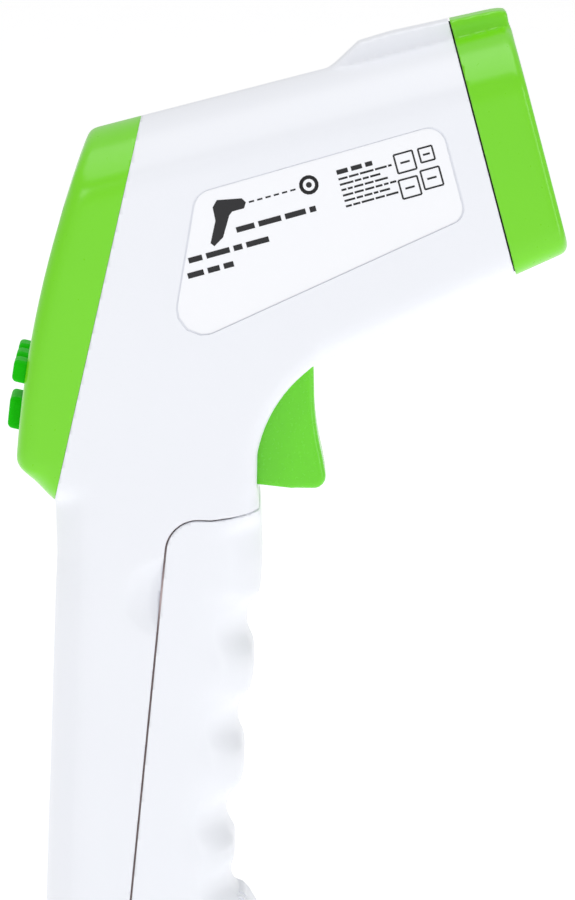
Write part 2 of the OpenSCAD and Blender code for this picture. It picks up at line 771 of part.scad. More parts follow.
module battery_springs() color(steel) grip_frame() {
    turns = coil(4.2, 2.2, spring_h - 0.75, 3.5);
    translate([cell_x, cell_y, bay[0] + 0.72]) swept_wire(turns, 0.32);
    translate([cell_x, -cell_y, bay[1] - 0.72]) mirror([0, 0, 1]) swept_wire(turns, 0.32);
}

module battery_leads() color([0.75, 0.1, 0.08]) for (s = [-1, 1])
    wire([[6.5, s * 5.6, 75.9], [2, s * 7, 83], [-3, s * 8, 96], [-12.7, s * 7.5, 111.6]], 0.6);

module door_pin() color(steel) translate([hinge[0], 7.2, hinge[1]]) rotate([90, 0, 0])
    cylinder(r = 1, h = 14.4);

module battery_door() color(white) difference() {
    union() {
        difference() {
            intersection() {
                body_form(0);
                side(-60, 60) door_outline(0);
            }
            finger_grooves(0);
            difference() {
                body_form(wall);
                finger_grooves(wall - 0.3);
            }
        }
        // knuckle on the door's pin
        side(0.2 - lug_y[0], lug_y[0] - 0.2) union() {
            translate(hinge) circle(2.3);
            translate([hinge[0], hinge[1] - 2]) square([2.2, 2.6]);
        }
    }
    translate([hinge[0], 20, hinge[1]]) rotate([90, 0, 0]) cylinder(r = 1.05, h = 40);
    // slots that clear the lugs
    for (s = [0, 1]) mirror([0, s, 0]) side(lug_y[0] - 0.3, lug_y[1] + 0.3) union() {
        translate(hinge) circle(lug_clear);
        translate([hinge[0] - 8, 0]) square([14, hinge[1]]);
    }
}

right_shell();
left_shell();
front_cap();
nose_gasket();
rear_bezel();
battery_door();
door_pin();
side_label();
lcd_window();
lcd_frame();
lcd_panel();
lcd_backlight();
zebra_strips();
main_pcb();
mcu_chip();
smd_parts();
tact_switches();
buzzer();
pcb_screws();
cable_plugs();
button_left();
button_center();
button_right();
button_set();
actuator_left();
actuator_center();
actuator_right();
actuator_set();
trigger();
trigger_pin();
trigger_spring();
trigger_switch();
trigger_cable();
sensor_shroud();
sensor_gasket();
sensor_holder();
thermopile_can();
infrared_window();
thermopile_pins();
sensor_pcb();
sensor_cable();
holder_screws();
battery_tray();
battery_left();
battery_right();
bridge_contact();
plus_contact();
minus_contact();
battery_springs();
battery_leads();
case_screws();
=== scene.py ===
"""Looks of a pistol-grip infrared thermometer, built around its CAD frame.

Frame: +X is the way the nose points, +Z is up, Y = 0 is the parting plane of the shells. The outer skin is
one smooth distance field, given in millimetres, that is polygonised once and then divided along the real
seams.
"""

import math

import bmesh
import bpy
import numpy as np
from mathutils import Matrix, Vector


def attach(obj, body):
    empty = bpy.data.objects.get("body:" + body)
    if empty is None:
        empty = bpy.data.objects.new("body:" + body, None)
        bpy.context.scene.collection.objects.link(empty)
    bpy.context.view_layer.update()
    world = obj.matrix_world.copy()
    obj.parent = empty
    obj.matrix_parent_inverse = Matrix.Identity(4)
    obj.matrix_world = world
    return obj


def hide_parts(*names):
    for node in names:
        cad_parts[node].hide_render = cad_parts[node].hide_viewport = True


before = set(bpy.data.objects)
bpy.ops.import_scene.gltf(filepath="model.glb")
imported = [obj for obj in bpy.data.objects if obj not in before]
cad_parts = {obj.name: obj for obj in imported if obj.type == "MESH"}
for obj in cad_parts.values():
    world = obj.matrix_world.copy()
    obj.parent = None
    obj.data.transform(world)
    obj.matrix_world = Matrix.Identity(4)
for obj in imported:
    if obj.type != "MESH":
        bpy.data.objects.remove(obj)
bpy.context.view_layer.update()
MM = 0.001

# ---------------------------------------------------------------- sizes, in millimetres
HALF_W = 18.49          # the flat sides of the body
WALL = 1.9
NOSE = (80.5, 173.3)    # centre of the nose face
NOSE_LEAN = math.radians(14.9)
CAP_D = 11.7            # depth of the front cap
CAP_GAP = 0.35
CAP_LIP = 1.2           # length of the bore's wall
NOSE_BORE = 14.0        # radius
TOP = (20, 183)         # a point on the crown's ridge
TOP_LEAN = math.radians(14.5)
RIB_HALF_W = 3.5
SEAM = (-10.1, 140.0)   # a point on the rear seam
SEAM_LEAN = math.radians(12.9)
SEAM_GAP = 0.05         # the bezel stops this far behind the seam
REAR_C = (202.2, 91.1)  # centre of the curved rear face
REAR_R = 230.0
WINDOW = (24.0, 27.0, 4.0)      # width, height, height of its middle along the rear face
WINDOW_R = 2.5          # its corners
WINDOW_DEPTH = 1.3
WINDOW_RIM = 2.0        # width of the step round the opening
OPENING_R = 1.5
KEY_PITCH = 11.0
KEY_ROWS = (-16.95, -27.1)
KEY_SIZE = ((7.0, 4.6), (12.0, 6.6))
KEY_HOLE_R = 1.35
KEY_PLAY = 0.25         # gap round each key
KEY_OUT = 2.7           # the keys stand this far out of the rear face
KEY_SEAT = (8.5, 7.75)  # front of the flange behind each key, from the seam plane
SCREWS = [(53, 178.5), (62, 152), (7, 166), (3, 126), (-10.3, 93), (-11.3, 58), (-12.6, 20)]
WELL_R = 2.7            # radius of the well round each screw
WELL_DEPTH = 4.4
SCREW_HOLE_R = 1.45
# floor of each finger groove, and the radius of its section
GROOVES = ((20.5, 72.2, 7.0), (18.5, 51.7, 7.0), (16.1, 31.6, 7.0), (17.0, 17.6, 5.2))
GROOVE_REACH = 27.5     # radius of the rings that cut the grooves
TRIGGER_C = (50.6, 104.4)       # centre of the trigger recess
TRIGGER_R = 28.6
TRIGGER_FACE_C = (96.55, 121.8)
TRIGGER_FACE_R = 62.4
TRIGGER_HALF_W = 6.8
SLOT = (7.2, 101.0, 125.9)      # trigger's slot: half of its width, lower and upper end
DOOR_REAR = (3.4, 86.1)  # a point on the door's rear edge
DOOR_LEAN = math.radians(5.8)
DOOR_SPAN = (8.0, 95.8)  # lower and upper end of the door
DOOR_GAP = 0.42
HINGE = (18.0, 11.6)
HINGE_R = 4.9
LUG_R = 2.1
LUG_Y = (4.0, 7.0)      # inner and outer face of each lug
KNUCKLE_R = 2.3
KNUCKLE_Y = 3.8         # half of the knuckle's width
DISH = (2.8, 79.9, 16.3 + 18.5, 18.1)   # thumb dish: x, z, distance of its centre from y = 0, radius
PARTING = 0.05          # each shell stops this far from the parting plane
LEDGE = 2.05            # depth of the ledge and the collar under the skin
LEDGE_REACH = 1.2       # how far they reach beyond the edges of the gap
LEDGE_WALL = 0.8
LABEL_DEPTH = 0.42
LABEL = [(9.7, 163.9, 4.2), (60.1, 178.3, 3.7), (65.3, 158.9, 3.3), (4.3, 130.8, 5.4)]

# Side outline of head and grip: x, z, fillet, edge rounding of the line that follows
OUTLINE = [
    (-19.45, 98.9, 0.5, 8), (-24.2, 104.2, 4, 5), (-27.3, 107.4, 0, 5), (-44, 124.6, 0, 7),
    (-44, 166.4, 0, 7), (110, 206.3, 0, 7), (110, 162.0, 0, 7), (34.4, 127.6, 0.6, 4)]
FRONT = [
    (23.3, 91.0), (23.5, 86.5), (23.1, 79.9), (22.5, 78.2), (20.8, 75.7), (20.35, 72.0),
    (20.5, 70.0), (21.4, 66.6), (21.8, 64.1), (21.5, 61.0), (21.0, 58.8), (20.4, 57.3),
    (19.1, 55.2), (18.5, 52.6), (18.5, 50.2), (19.2, 47.3), (19.7, 44.2), (19.55, 41.2),
    (19.1, 39.0), (18.4, 37.1), (17.2, 35.1), (16.2, 32.4), (15.95, 30.4), (16.6, 28.1),
    (17.5, 25.4), (17.6, 22.8), (17.1, 19.0), (17.0, 17.0), (18.0, 14.9), (20.2, 12.5),
    (22.2, 9.0)]
BACK = [
    (-22.0, 12.0), (-21.4, 30.0), (-20.9, 42.0), (-20.4, 56.0),
    (-19.9, 70.0), (-19.6, 78.0), (-19.15, 87.5)]


def arc_points(c, r, a0, a1, n):
    return [(c[0] + r * math.cos(math.radians(a0 + (a1 - a0) * i / n)),
             c[1] + r * math.sin(math.radians(a0 + (a1 - a0) * i / n))) for i in range(n + 1)]


def fillet(points):
    """Side outline with rounded corners: lists of points and of the edge rounding after each of them."""
    pts, rounding = [], []
    n = len(points)
    for i, (x, z, r, edge) in enumerate(points):
        p = np.array((x, z))
        a = np.array(points[i - 1][:2]) - p
        b = np.array(points[(i + 1) % n][:2]) - p
        la, lb = np.linalg.norm(a), np.linalg.norm(b)
        a, b = a / la, b / lb
        half = math.acos(np.clip(a @ b, -1, 1)) / 2
        cut = min(r / math.tan(half), 0.45 * la, 0.45 * lb) if r else 0
        if cut < 0.05 or half > 1.55:
            pts.append(p)
            rounding.append(edge)
            continue
        q = cut * math.tan(half)
        mid = (a + b) / np.linalg.norm(a + b)
        c = p + mid * q / math.sin(half)
        s, e = p + a * cut - c, p + b * cut - c
        steps = 6
        for k in range(steps + 1):
            v = s * (1 - k / steps) + e * k / steps
            pts.append(c + v / np.linalg.norm(v) * q)
            rounding.append(edge if k > steps / 2 else points[i - 1][3])
    return np.array(pts), np.array(rounding, float)


def body_outline():
    """Side outline of the body: head, trigger recess, front of the grip, foot and back of the grip."""
    pts = list(OUTLINE)
    pts += [(x, z, 0, 4) for x, z in arc_points(TRIGGER_C, TRIGGER_R, 126, 170, 11)]
    pts += [(22.3, SLOT[1], 1.5, 6), (23.2, 95.4, 1.5, 13)]
    pts += [(x, z, 0, 13) for x, z in FRONT]
    pts += [(22.6, 7.5, 1, 13), (22.6, 0.0, 2.5, 2.5), (-22.3, 0.0, 2.5, 11)]
    pts += [(x, z, 0, 11) for x, z in BACK]
    return fillet(pts)


def smooth2(a, times):
    for _ in range(times):
        for axis in (0, 1):
            a = (np.roll(a, 1, axis) + 2 * a + np.roll(a, -1, axis)) / 4
    return a


class Field2:
    """Values on a fine grid in the side view, read between its points."""

    def __init__(self, x0, z0, step, values):
        self.o, self.h, self.v = (x0, z0), step, values

    def __call__(self, x, z):
        u = np.clip((x - self.o[0]) / self.h, 0, self.v.shape[0] - 1.001)
        w = np.clip((z - self.o[1]) / self.h, 0, self.v.shape[1] - 1.001)
        i, j = u.astype(int), w.astype(int)
        u, w = u - i, w - j
        v = self.v
        return ((v[i, j] * (1 - u) + v[i + 1, j] * u) * (1 - w)
                + (v[i, j + 1] * (1 - u) + v[i + 1, j + 1] * u) * w)


def outline_fields(pts, rounding, lo, hi, step, blur):
    """Signed distance to a closed outline, and the rounding of its nearest edge, blurred."""
    xs = np.arange(lo[0], hi[0] + step, step)
    zs = np.arange(lo[1], hi[1] + step, step)
    X, Z = np.meshgrid(xs, zs, indexing="ij")
    best = np.full(X.shape, 1e9)
    near = np.zeros(X.shape)
    inside = np.zeros(X.shape, bool)
    n = len(pts)
    for i in range(n):
        a, b = pts[i], pts[(i + 1) % n]
        d = b - a
        t = np.clip(((X - a[0]) * d[0] + (Z - a[1]) * d[1]) / (d @ d), 0, 1)
        dist = (X - a[0] - t * d[0]) ** 2 + (Z - a[1] - t * d[1]) ** 2
        m = dist < best
        best[m] = dist[m]
        near[m] = rounding[i]
        if a[1] != b[1]:
            cross = ((a[1] > Z) != (b[1] > Z)) & (X < d[0] * (Z - a[1]) / d[1] + a[0])
            inside ^= cross
    sd = np.sqrt(best) * np.where(inside, -1, 1)
    return Field2(lo[0], lo[1], step, sd), Field2(lo[0], lo[1], step, smooth2(near, blur))


def round_box(n, a, r):
    """A plate's edge: n is the distance out of the outline, a the distance out of the side."""
    q1, q2 = n + r, a + r
    return np.minimum(np.maximum(q1, q2), 0) + np.hypot(np.maximum(q1, 0), np.maximum(q2, 0)) - r


def smin(a, b, k):
    h = np.maximum(k - np.abs(a - b), 0) / k
    return np.minimum(a, b) - h * h * k / 4


def smax(a, b, k):
    return -smin(-a, -b, k)


def crown(n, y, w, c=22.0, q=7.0):
    """Section across the top of the head: a crown that runs into rounded corners."""
    yc = w - q
    nc = math.sqrt((c - q) ** 2 - yc ** 2) - c
    limit = math.atan2(yc, nc + c)
    on_crown = (np.arctan2(y, n + c) < limit) & (n + c > 0)
    corner = np.hypot(y - yc, n - nc) - q
    return np.where(on_crown, np.hypot(y, n + c) - c, np.where(n > nc, corner, y - w))


K_REAR, K_NOSE, K_GROOVE = 1.4, 2.2, 1.0
flat_1 = K_REAR / 4
flat_2 = flat_1 + K_NOSE / 4 * (1 - flat_1 / K_NOSE) ** 2
W_FIELD = HALF_W + flat_2

pts2, rnd2 = body_outline()
side_sd, side_r = outline_fields(pts2, rnd2, (-46, -3), (112, 208), 0.25, 60)
rib_pts, rib_rnd = fillet([
    (36, 180, 0, 1), (37.6, 187.5, 0.8, 1), (43.3, 192.9, 2, 1), (50, 194.9, 20, 1), (70.5, 199.4, 3, 1),
    (73.6, 199.75, 1.3, 1), (74.2, 195.6, 0.6, 1), (76, 188, 0, 1)])
rib_sd, _ = outline_fields(rib_pts, rib_rnd, (30, 176), (80, 204), 0.2, 1)


def body(x, y, z):
    """Distance field of the whole outer form; negative inside."""
    y = np.abs(y)
    n = side_sd(x, z)
    r = side_r(x, z)
    a = y - W_FIELD
    plain = round_box(n, a, r)
    n_top = (z - TOP[1]) * math.cos(TOP_LEAN) - (x - TOP[0]) * math.sin(TOP_LEAN)
    low = np.clip((n_top + 24) / 6, 0, 1)       # only the upper part of the head is crowned
    main = np.where(low > 0, np.maximum(plain, crown(n_top, y, W_FIELD)), plain)
    n_rear = np.hypot(x - REAR_C[0], np.maximum(z - REAR_C[1], 0)) - REAR_R
    f = smax(main, round_box(n_rear, a, 5), K_REAR)
    n_nose = (x - NOSE[0]) * math.cos(NOSE_LEAN) + (z - NOSE[1]) * math.sin(NOSE_LEAN)
    f = smax(f, round_box(n_nose, a, 2), K_NOSE)
    rib = round_box(rib_sd(x, z), y - RIB_HALF_W, 0.8)
    f = smin(f, rib, 0.9)
    for floor_x, floor_z, tube in GROOVES:      # each finger groove is a ring round the front of the grip
        ring = np.hypot(x - floor_x + GROOVE_REACH, y) - GROOVE_REACH - tube
        f = smax(f, tube - np.hypot(ring, z - floor_z), K_GROOVE)
    return f


def polygonise(f, lo, hi, h, steps=3):
    """Closed quad mesh of f = 0: one vertex in each grid cell that the surface crosses, drawn onto it."""
    axes = [lo[i] + h * np.arange(int(math.ceil((hi[i] - lo[i]) / h)) + 1) for i in range(3)]
    grid = np.meshgrid(*axes, indexing="ij")
    v = np.concatenate([f(*[g[i:i + 16] for g in grid]) for i in range(0, len(axes[0]), 16)])
    v = np.where(np.abs(v) < 1e-6, 1e-6, v)
    s = v < 0
    n = [k - 1 for k in v.shape]
    total = np.zeros(n + [3])
    count = np.zeros(n)
    for axis in range(3):
        lo_v = np.take(v, range(v.shape[axis] - 1), axis)
        hi_v = np.take(v, range(1, v.shape[axis]), axis)
        cut = (lo_v < 0) != (hi_v < 0)
        t = np.where(cut, lo_v / np.where(cut, lo_v - hi_v, 1), 0)
        others = [k for k in range(3) if k != axis]
        for da in (0, 1):
            for db in (0, 1):
                sl = [slice(None)] * 3
                sl[others[0]] = slice(da, da + n[others[0]])
                sl[others[1]] = slice(db, db + n[others[1]])
                c, tt = cut[tuple(sl)], t[tuple(sl)]
                count += c
                total[..., axis] += tt * c
                total[..., others[0]] += da * c
                total[..., others[1]] += db * c
    used = count > 0
    index = np.full(n, -1)
    index[used] = np.arange(used.sum())
    cell = np.argwhere(used)
    p = (cell + total[used] / count[used][:, None]) * h + np.array(lo)
    faces = []
    for axis in range(3):
        others = [k for k in range(3) if k != axis]
        a = np.take(s, range(s.shape[axis] - 1), axis)
        b = np.take(s, range(1, s.shape[axis]), axis)
        inner = [slice(None)] * 3
        for k in others:
            inner[k] = slice(1, v.shape[k] - 1)
        change = (a != b)[tuple(inner)]
        at = np.argwhere(change)
        out = a[tuple(inner)][change]
        base = at.copy()
        quad = []
        for da, db in ((0, 0), (1, 0), (1, 1), (0, 1)):
            q = base.copy()
            q[:, others[0]] += da
            q[:, others[1]] += db
            quad.append(index[q[:, 0], q[:, 1], q[:, 2]])
        quad = np.stack(quad, 1)
        flip = out if axis != 1 else ~out
        quad[~flip] = quad[~flip][:, ::-1]
        faces.append(quad)
    faces = np.concatenate(faces)
    e = 0.05
    for _ in range(steps):
        d = f(p[:, 0], p[:, 1], p[:, 2])
        rise = [f(*(p + e * np.eye(3)[k]).T) - f(*(p - e * np.eye(3)[k]).T) for k in range(3)]
        g = np.stack(rise, 1) / (2 * e)
        move = d[:, None] * g / np.maximum((g * g).sum(1), 0.05)[:, None]
        size = np.linalg.norm(move, axis=1)[:, None]
        p = p - move * np.minimum(1, 0.6 * h / np.maximum(size, 1e-9))
    return p, faces


def bm_from(p, faces):
    me = bpy.data.meshes.new("work")
    me.from_pydata([tuple(q) for q in p], [], [tuple(int(i) for i in f) for f in faces])
    me.validate()
    bm = bmesh.new()
    bm.from_mesh(me)
    bpy.data.meshes.remove(me)
    return bm


def all_geom(faces):
    return list({e for f in faces for e in f.edges}) + list({v for f in faces for v in f.verts}) + list(faces)


def keep_half(bm, point, normal):
    """Keeps what lies behind a plane."""
    bmesh.ops.bisect_plane(bm, geom=bm.verts[:] + bm.edges[:] + bm.faces[:], dist=1e-5, plane_co=point,
                           plane_no=normal, clear_outer=True)


def inside_outline(outline, a, b):
    hit = False
    n = len(outline)
    for i in range(n):
        (x0, z0), (x1, z1) = outline[i], outline[(i + 1) % n]
        if (z0 > b) != (z1 > b) and a < (x1 - x0) * (b - z0) / (z1 - z0) + x0:
            hit = not hit
    return hit


def divide(bm, outline, origin, u, v, side=None, margin=1.4):
    """Cuts the mesh along an outline drawn on the plane of u and v, and returns the faces inside it."""
    origin, u, v = Vector(origin), Vector(u), Vector(v)
    lo = [min(p[k] for p in outline) - margin for k in (0, 1)]
    hi = [max(p[k] for p in outline) + margin for k in (0, 1)]

    def flat(co):
        d = co - origin
        return d.dot(u), d.dot(v)

    near = set()
    for f in bm.faces:
        c = f.calc_center_median()
        a, b = flat(c)
        if lo[0] < a < hi[0] and lo[1] < b < hi[1] and (side is None or side(c)):
            near.add(f)
    n = len(outline)
    for i in range(n):
        p, q = Vector(outline[i]), Vector(outline[(i + 1) % n])
        d = q - p
        length = d.length
        if length < 1e-4:
            continue
        d = d / length
        across = Vector((-d.y, d.x))
        chosen = []
        for f in near:
            spots = [Vector(flat(w.co)) - p for w in f.verts]
            s = [w.dot(across) for w in spots]
            t = [w.dot(d) for w in spots]
            if min(s) < -1e-6 and max(s) > 1e-6 and max(t) > -0.4 and min(t) < length + 0.4:
                chosen.append(f)
        if not chosen:
            continue
        done = bmesh.ops.bisect_plane(bm, geom=all_geom(chosen), dist=1e-4,
                                      plane_co=origin + u * p.x + v * p.y,
                                      plane_no=u * across.x + v * across.y)
        cut = {f for f in done["geom"] if isinstance(f, bmesh.types.BMFace)}
        near = {f for f in near if f.is_valid} | cut
    return [f for f in near if f.is_valid and inside_outline(outline, *flat(f.calc_center_median()))]


def recess(bm, faces, move):
    """Sinks a set of faces by a vector and walls in the step."""
    out = bmesh.ops.extrude_face_region(bm, geom=faces)["geom"]
    bmesh.ops.translate(bm, vec=Vector(move), verts=[g for g in out if isinstance(g, bmesh.types.BMVert)])
    bmesh.ops.delete(bm, geom=[f for f in faces if f.is_valid], context="FACES")
    return [g for g in out if isinstance(g, bmesh.types.BMFace)]


def sink(bm, depth):
    """Moves a work mesh inward along its normals."""
    bm.normal_update()
    moves = [(v, v.normal * -depth) for v in bm.verts]
    for v, move in moves:
        v.co += move


def pad_outline(w, h, r, c=(0, 0), n=5):
    out = []
    for sx, sz, a in ((1, 1, 0), (-1, 1, 90), (-1, -1, 180), (1, -1, 270)):
        out += arc_points((c[0] + sx * (w / 2 - r), c[1] + sz * (h / 2 - r)), r, a, a + 90, n)
    return out


def door_outline(g):
    lean = math.degrees(DOOR_LEAN)
    low, top = DOOR_SPAN[0] - g, DOOR_SPAN[1] + g
    big, small = 6.5 + g, 3.5 + g

    def centre(z, r):
        return (DOOR_REAR[0] + (z - DOOR_REAR[1]) * math.tan(DOOR_LEAN) + (r - g) / math.cos(DOOR_LEAN), z)

    pts = arc_points(centre(low + small, small), small, 270, 180 - lean, 6)
    pts += arc_points(centre(top - big, big), big, 180 - lean, 92, 10)
    # the upper edge runs nearly level and lifts towards the front
    pts += [(13.0, top - 0.1), (17.0, top + 0.45), (20.0, top + 1.15), (60, top + 10)]
    pts += [(60, HINGE[1] - 0.6), (HINGE[0] + HINGE_R + g, HINGE[1] - 0.6)]
    pts += arc_points(HINGE, HINGE_R + g, -9, -90, 8)
    return pts


def label_outline(g):
    """Rounded quadrilateral of the side label, set in by g."""
    quad = [(x, z) for x, z, _ in LABEL]
    cx = sum(p[0] for p in quad) / 4
    cz = sum(p[1] for p in quad) / 4
    out = []
    pts, _ = fillet([(x, z, r, 0) for x, z, r in LABEL])
    for x, z in pts:
        d = Vector((cx - x, cz - z))
        d.normalize()
        out.append((x + d.x * g, z + d.y * g))
    return out


def to_object(bm, name, body_name, material, slot, *nodes, thick=WALL, smooth_angle=35):
    """Turns a work mesh, in millimetres, into a piece in the frame."""
    bmesh.ops.remove_doubles(bm, verts=bm.verts[:], dist=0.004)
    bmesh.ops.dissolve_degenerate(bm, edges=bm.edges[:], dist=0.002)
    loose = [v for v in bm.verts if not v.link_faces]
    bmesh.ops.delete(bm, geom=loose, context="VERTS")
    bmesh.ops.scale(bm, vec=(MM, MM, MM), verts=bm.verts[:])
    me = bpy.data.meshes.new(name)
    bm.to_mesh(me)
    bm.free()
    o = bpy.data.objects.new(name, me)
    bpy.context.scene.collection.objects.link(o)
    me.materials.append(material)
    if thick:
        m = o.modifiers.new("wall", "SOLIDIFY")
        m.thickness = thick * MM
        m.offset = -1
        m.use_rim = True
        m.use_even_offset = False
    shade(o, smooth_angle)
    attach(o, body_name)
    if nodes:
        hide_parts(*nodes)
    return o


def shade(o, angle):
    """Smooth shading that stays sharp across real edges."""
    me = o.data
    me.polygons.foreach_set("use_smooth", [True] * len(me.polygons))
    bm = bmesh.new()
    bm.from_mesh(me)
    limit = math.radians(angle)
    for e in bm.edges:
        e.smooth = not (len(e.link_faces) == 2 and e.calc_face_angle(0) > limit)
    bm.to_mesh(me)
    bm.free()


# ---------------------------------------------------------------- materials
def material(name, color, rough=0.35, bump=0.02, scale=900.0, vary=0.03, coat=0.0, metal=0.0, glow=0.0,
             shine=0.5, rough_vary=0.06):
    """A finish with fine grain: colour, roughness and height all vary with solid noise."""
    m = bpy.data.materials.new(name)
    m.use_nodes = True
    nt = m.node_tree
    p = nt.nodes["Principled BSDF"]
    p.inputs["Metallic"].default_value = metal
    p.inputs["Coat Weight"].default_value = coat
    p.inputs["Coat Roughness"].default_value = 0.12
    p.inputs["Specular IOR Level"].default_value = shine
    if glow:
        p.inputs["Emission Color"].default_value = (1, 1, 1, 1)
        p.inputs["Emission Strength"].default_value = glow
    coord = nt.nodes.new("ShaderNodeTexCoord")
    fine = nt.nodes.new("ShaderNodeTexNoise")
    fine.inputs["Scale"].default_value = scale
    fine.inputs["Detail"].default_value = 3
    nt.links.new(coord.outputs["Object"], fine.inputs["Vector"])
    broad = nt.nodes.new("ShaderNodeTexNoise")
    broad.inputs["Scale"].default_value = 28
    broad.inputs["Detail"].default_value = 2
    nt.links.new(coord.outputs["Object"], broad.inputs["Vector"])
    ramp = nt.nodes.new("ShaderNodeValToRGB")
    ramp.color_ramp.elements[0].position = 0.3
    ramp.color_ramp.elements[1].position = 0.7
    ramp.color_ramp.elements[0].color = [c * (1 - vary) for c in color] + [1]
    ramp.color_ramp.elements[1].color = [min(c * (1 + vary), 1) for c in color] + [1]
    nt.links.new(broad.outputs["Fac"], ramp.inputs["Fac"])
    nt.links.new(ramp.outputs["Color"], p.inputs["Base Color"])
    span = nt.nodes.new("ShaderNodeMapRange")
    span.inputs["To Min"].default_value = max(rough - rough_vary, 0.02)
    span.inputs["To Max"].default_value = min(rough + rough_vary, 1)
    nt.links.new(fine.outputs["Fac"], span.inputs["Value"])
    nt.links.new(span.outputs["Result"], p.inputs["Roughness"])
    b = nt.nodes.new("ShaderNodeBump")
    b.inputs["Strength"].default_value = bump
    b.inputs["Distance"].default_value = 0.0002
    nt.links.new(fine.outputs["Fac"], b.inputs["Height"])
    nt.links.new(b.outputs["Normal"], p.inputs["Normal"])
    return m


def srgb(r, g, b):
    return tuple((c / 255 / 12.92) if c < 10.3 else ((c / 255 + 0.055) / 1.055) ** 2.4 for c in (r, g, b))


WHITE = material("white_abs", srgb(238, 240, 246), 0.34, 0.05, 1400, 0.006)
DOOR_WHITE = material("white_door", srgb(239, 241, 247), 0.36, 0.05, 1400, 0.006)
# pinkish-grey copy of the white plastic for the ledge under the door's seam: painted warm shade in the gap
LEDGE_WARM_SHADE = material("white_ledge", srgb(228, 206, 204), 0.40, 0.05, 1400, 0.006)
LABEL_MAT = material("label_film", srgb(246, 247, 251), 0.42, 0.03, 2200, 0.004)
INK = material("label_ink", srgb(22, 22, 26), 0.5, 0.03, 2200, 0.05)
GREEN = material("green_abs", srgb(116, 215, 12), 0.30, 0.06, 1300, 0.02, coat=0.15)
TRIGGER_GREEN = material("green_trigger", srgb(100, 213, 0), 0.26, 0.02, 1300, 0.02, coat=0.2)
KEY_GREEN = material("green_keys", srgb(22, 190, 0), 0.45, 0.05, 1500, 0.03, shine=0.08)
DARK = material("dark_abs", srgb(28, 28, 31), 0.5, 0.08, 1200, 0.06)
GLASS = material("window_glass", srgb(14, 15, 17), 0.08, 0.0, 600, 0.05, coat=0.6, rough_vary=0.02)
STEEL = material("steel", srgb(190, 192, 196), 0.28, 0.04, 1800, 0.04, metal=1)
BRASS = material("brass", srgb(205, 175, 105), 0.3, 0.04, 1600, 0.05, metal=1)
BOARD = material("circuit_board", srgb(18, 92, 52), 0.42, 0.05, 1500, 0.1)
CHIP = material("chip_epoxy", srgb(24, 24, 26), 0.55, 0.1, 2500, 0.08)
LCD = material("lcd_glass", srgb(150, 162, 146), 0.12, 0.0, 500, 0.03, coat=0.5, rough_vary=0.02)
BACKLIGHT = material("light_guide", srgb(226, 234, 226), 0.3, 0.02, 700, 0.02)
RUBBER = material("rubber", srgb(32, 32, 34), 0.72, 0.12, 900, 0.08)
NYLON = material("nylon_cream", srgb(232, 226, 208), 0.45, 0.04, 1100, 0.03)
TRAY = material("tray_abs", srgb(70, 72, 76), 0.5, 0.08, 1100, 0.06)
CELL = material("cell_sleeve", srgb(44, 74, 132), 0.28, 0.03, 900, 0.05, coat=0.3)
WIRE_RED = material("wire_red", srgb(176, 28, 22), 0.45, 0.04, 1200, 0.05)
WIRE_GREY = material("wire_grey", srgb(150, 150, 156), 0.45, 0.04, 1200, 0.05)
WIRE_DARK = material("wire_dark", srgb(48, 48, 54), 0.45, 0.04, 1200, 0.06)
SMD = material("small_parts", srgb(132, 104, 70), 0.4, 0.06, 2500, 0.15)
FILTER = material("infrared_filter", srgb(84, 78, 96), 0.14, 0.0, 900, 0.08, coat=0.5, rough_vary=0.02)

# ---------------------------------------------------------------- outer skin
H = 0.8
verts, quads = polygonise(body, (-30, -24 * H, -2.4), (89, 24 * H, 202.4), H)
seam_n = Vector((-math.cos(SEAM_LEAN), 0, math.sin(SEAM_LEAN)))     # points to the rear
seam_p = Vector((SEAM[0], 0, SEAM[1]))
up_rear = Vector((math.sin(SEAM_LEAN), 0, math.cos(SEAM_LEAN)))
nose_n = Vector((math.cos(NOSE_LEAN), 0, math.sin(NOSE_LEAN)))
nose_p = Vector((NOSE[0], 0, NOSE[1]))
nose_up = Vector((-math.sin(NOSE_LEAN), 0, math.cos(NOSE_LEAN)))
Y = Vector((0, 1, 0))
XZ = ((0, 0, 0), (1, 0, 0), (0, 0, 1))


def part_of(keep):
    """A work mesh of the skin's quads whose middle passes a test, with a margin left for exact cuts."""
    mid = verts[quads].mean(1)
    chosen = quads[keep(mid)]
    used = np.unique(chosen)
    back = np.full(len(verts), -1)
    back[used] = np.arange(len(used))
    return bm_from(verts[used], back[chosen])


def ahead(p):
    """Distance of points ahead of the nose face."""
    return (p[:, 0] - NOSE[0]) * math.cos(NOSE_LEAN) + (p[:, 2] - NOSE[1]) * math.sin(NOSE_LEAN)


def behind(p):
    """Distance of points behind the rear seam."""
    return -(p[:, 0] - SEAM[0]) * math.cos(SEAM_LEAN) + (p[:, 2] - SEAM[1]) * math.sin(SEAM_LEAN)


# front cap
bm = part_of(lambda p: ahead(p) > -CAP_D - 2)
keep_half(bm, nose_p - nose_n * CAP_D, -nose_n)
hole = divide(bm, arc_points((0, 0), NOSE_BORE, 0, 352.5, 47), nose_p, Y, nose_up,
              lambda c: (c - nose_p).dot(nose_n) > -3)
inner_face = recess(bm, hole, -nose_n * CAP_LIP)
bmesh.ops.delete(bm, geom=inner_face, context="FACES")
to_object(bm, "skin_front_cap", "root", GREEN, "green_plastic", "front_cap")

# rear bezel
bm = part_of(lambda p: (behind(p) > -2) & (p[:, 2] > 90))
keep_half(bm, seam_p + seam_n * SEAM_GAP, -seam_n)


def facing_rear(c):
    return (c - seam_p).dot(seam_n) > 3


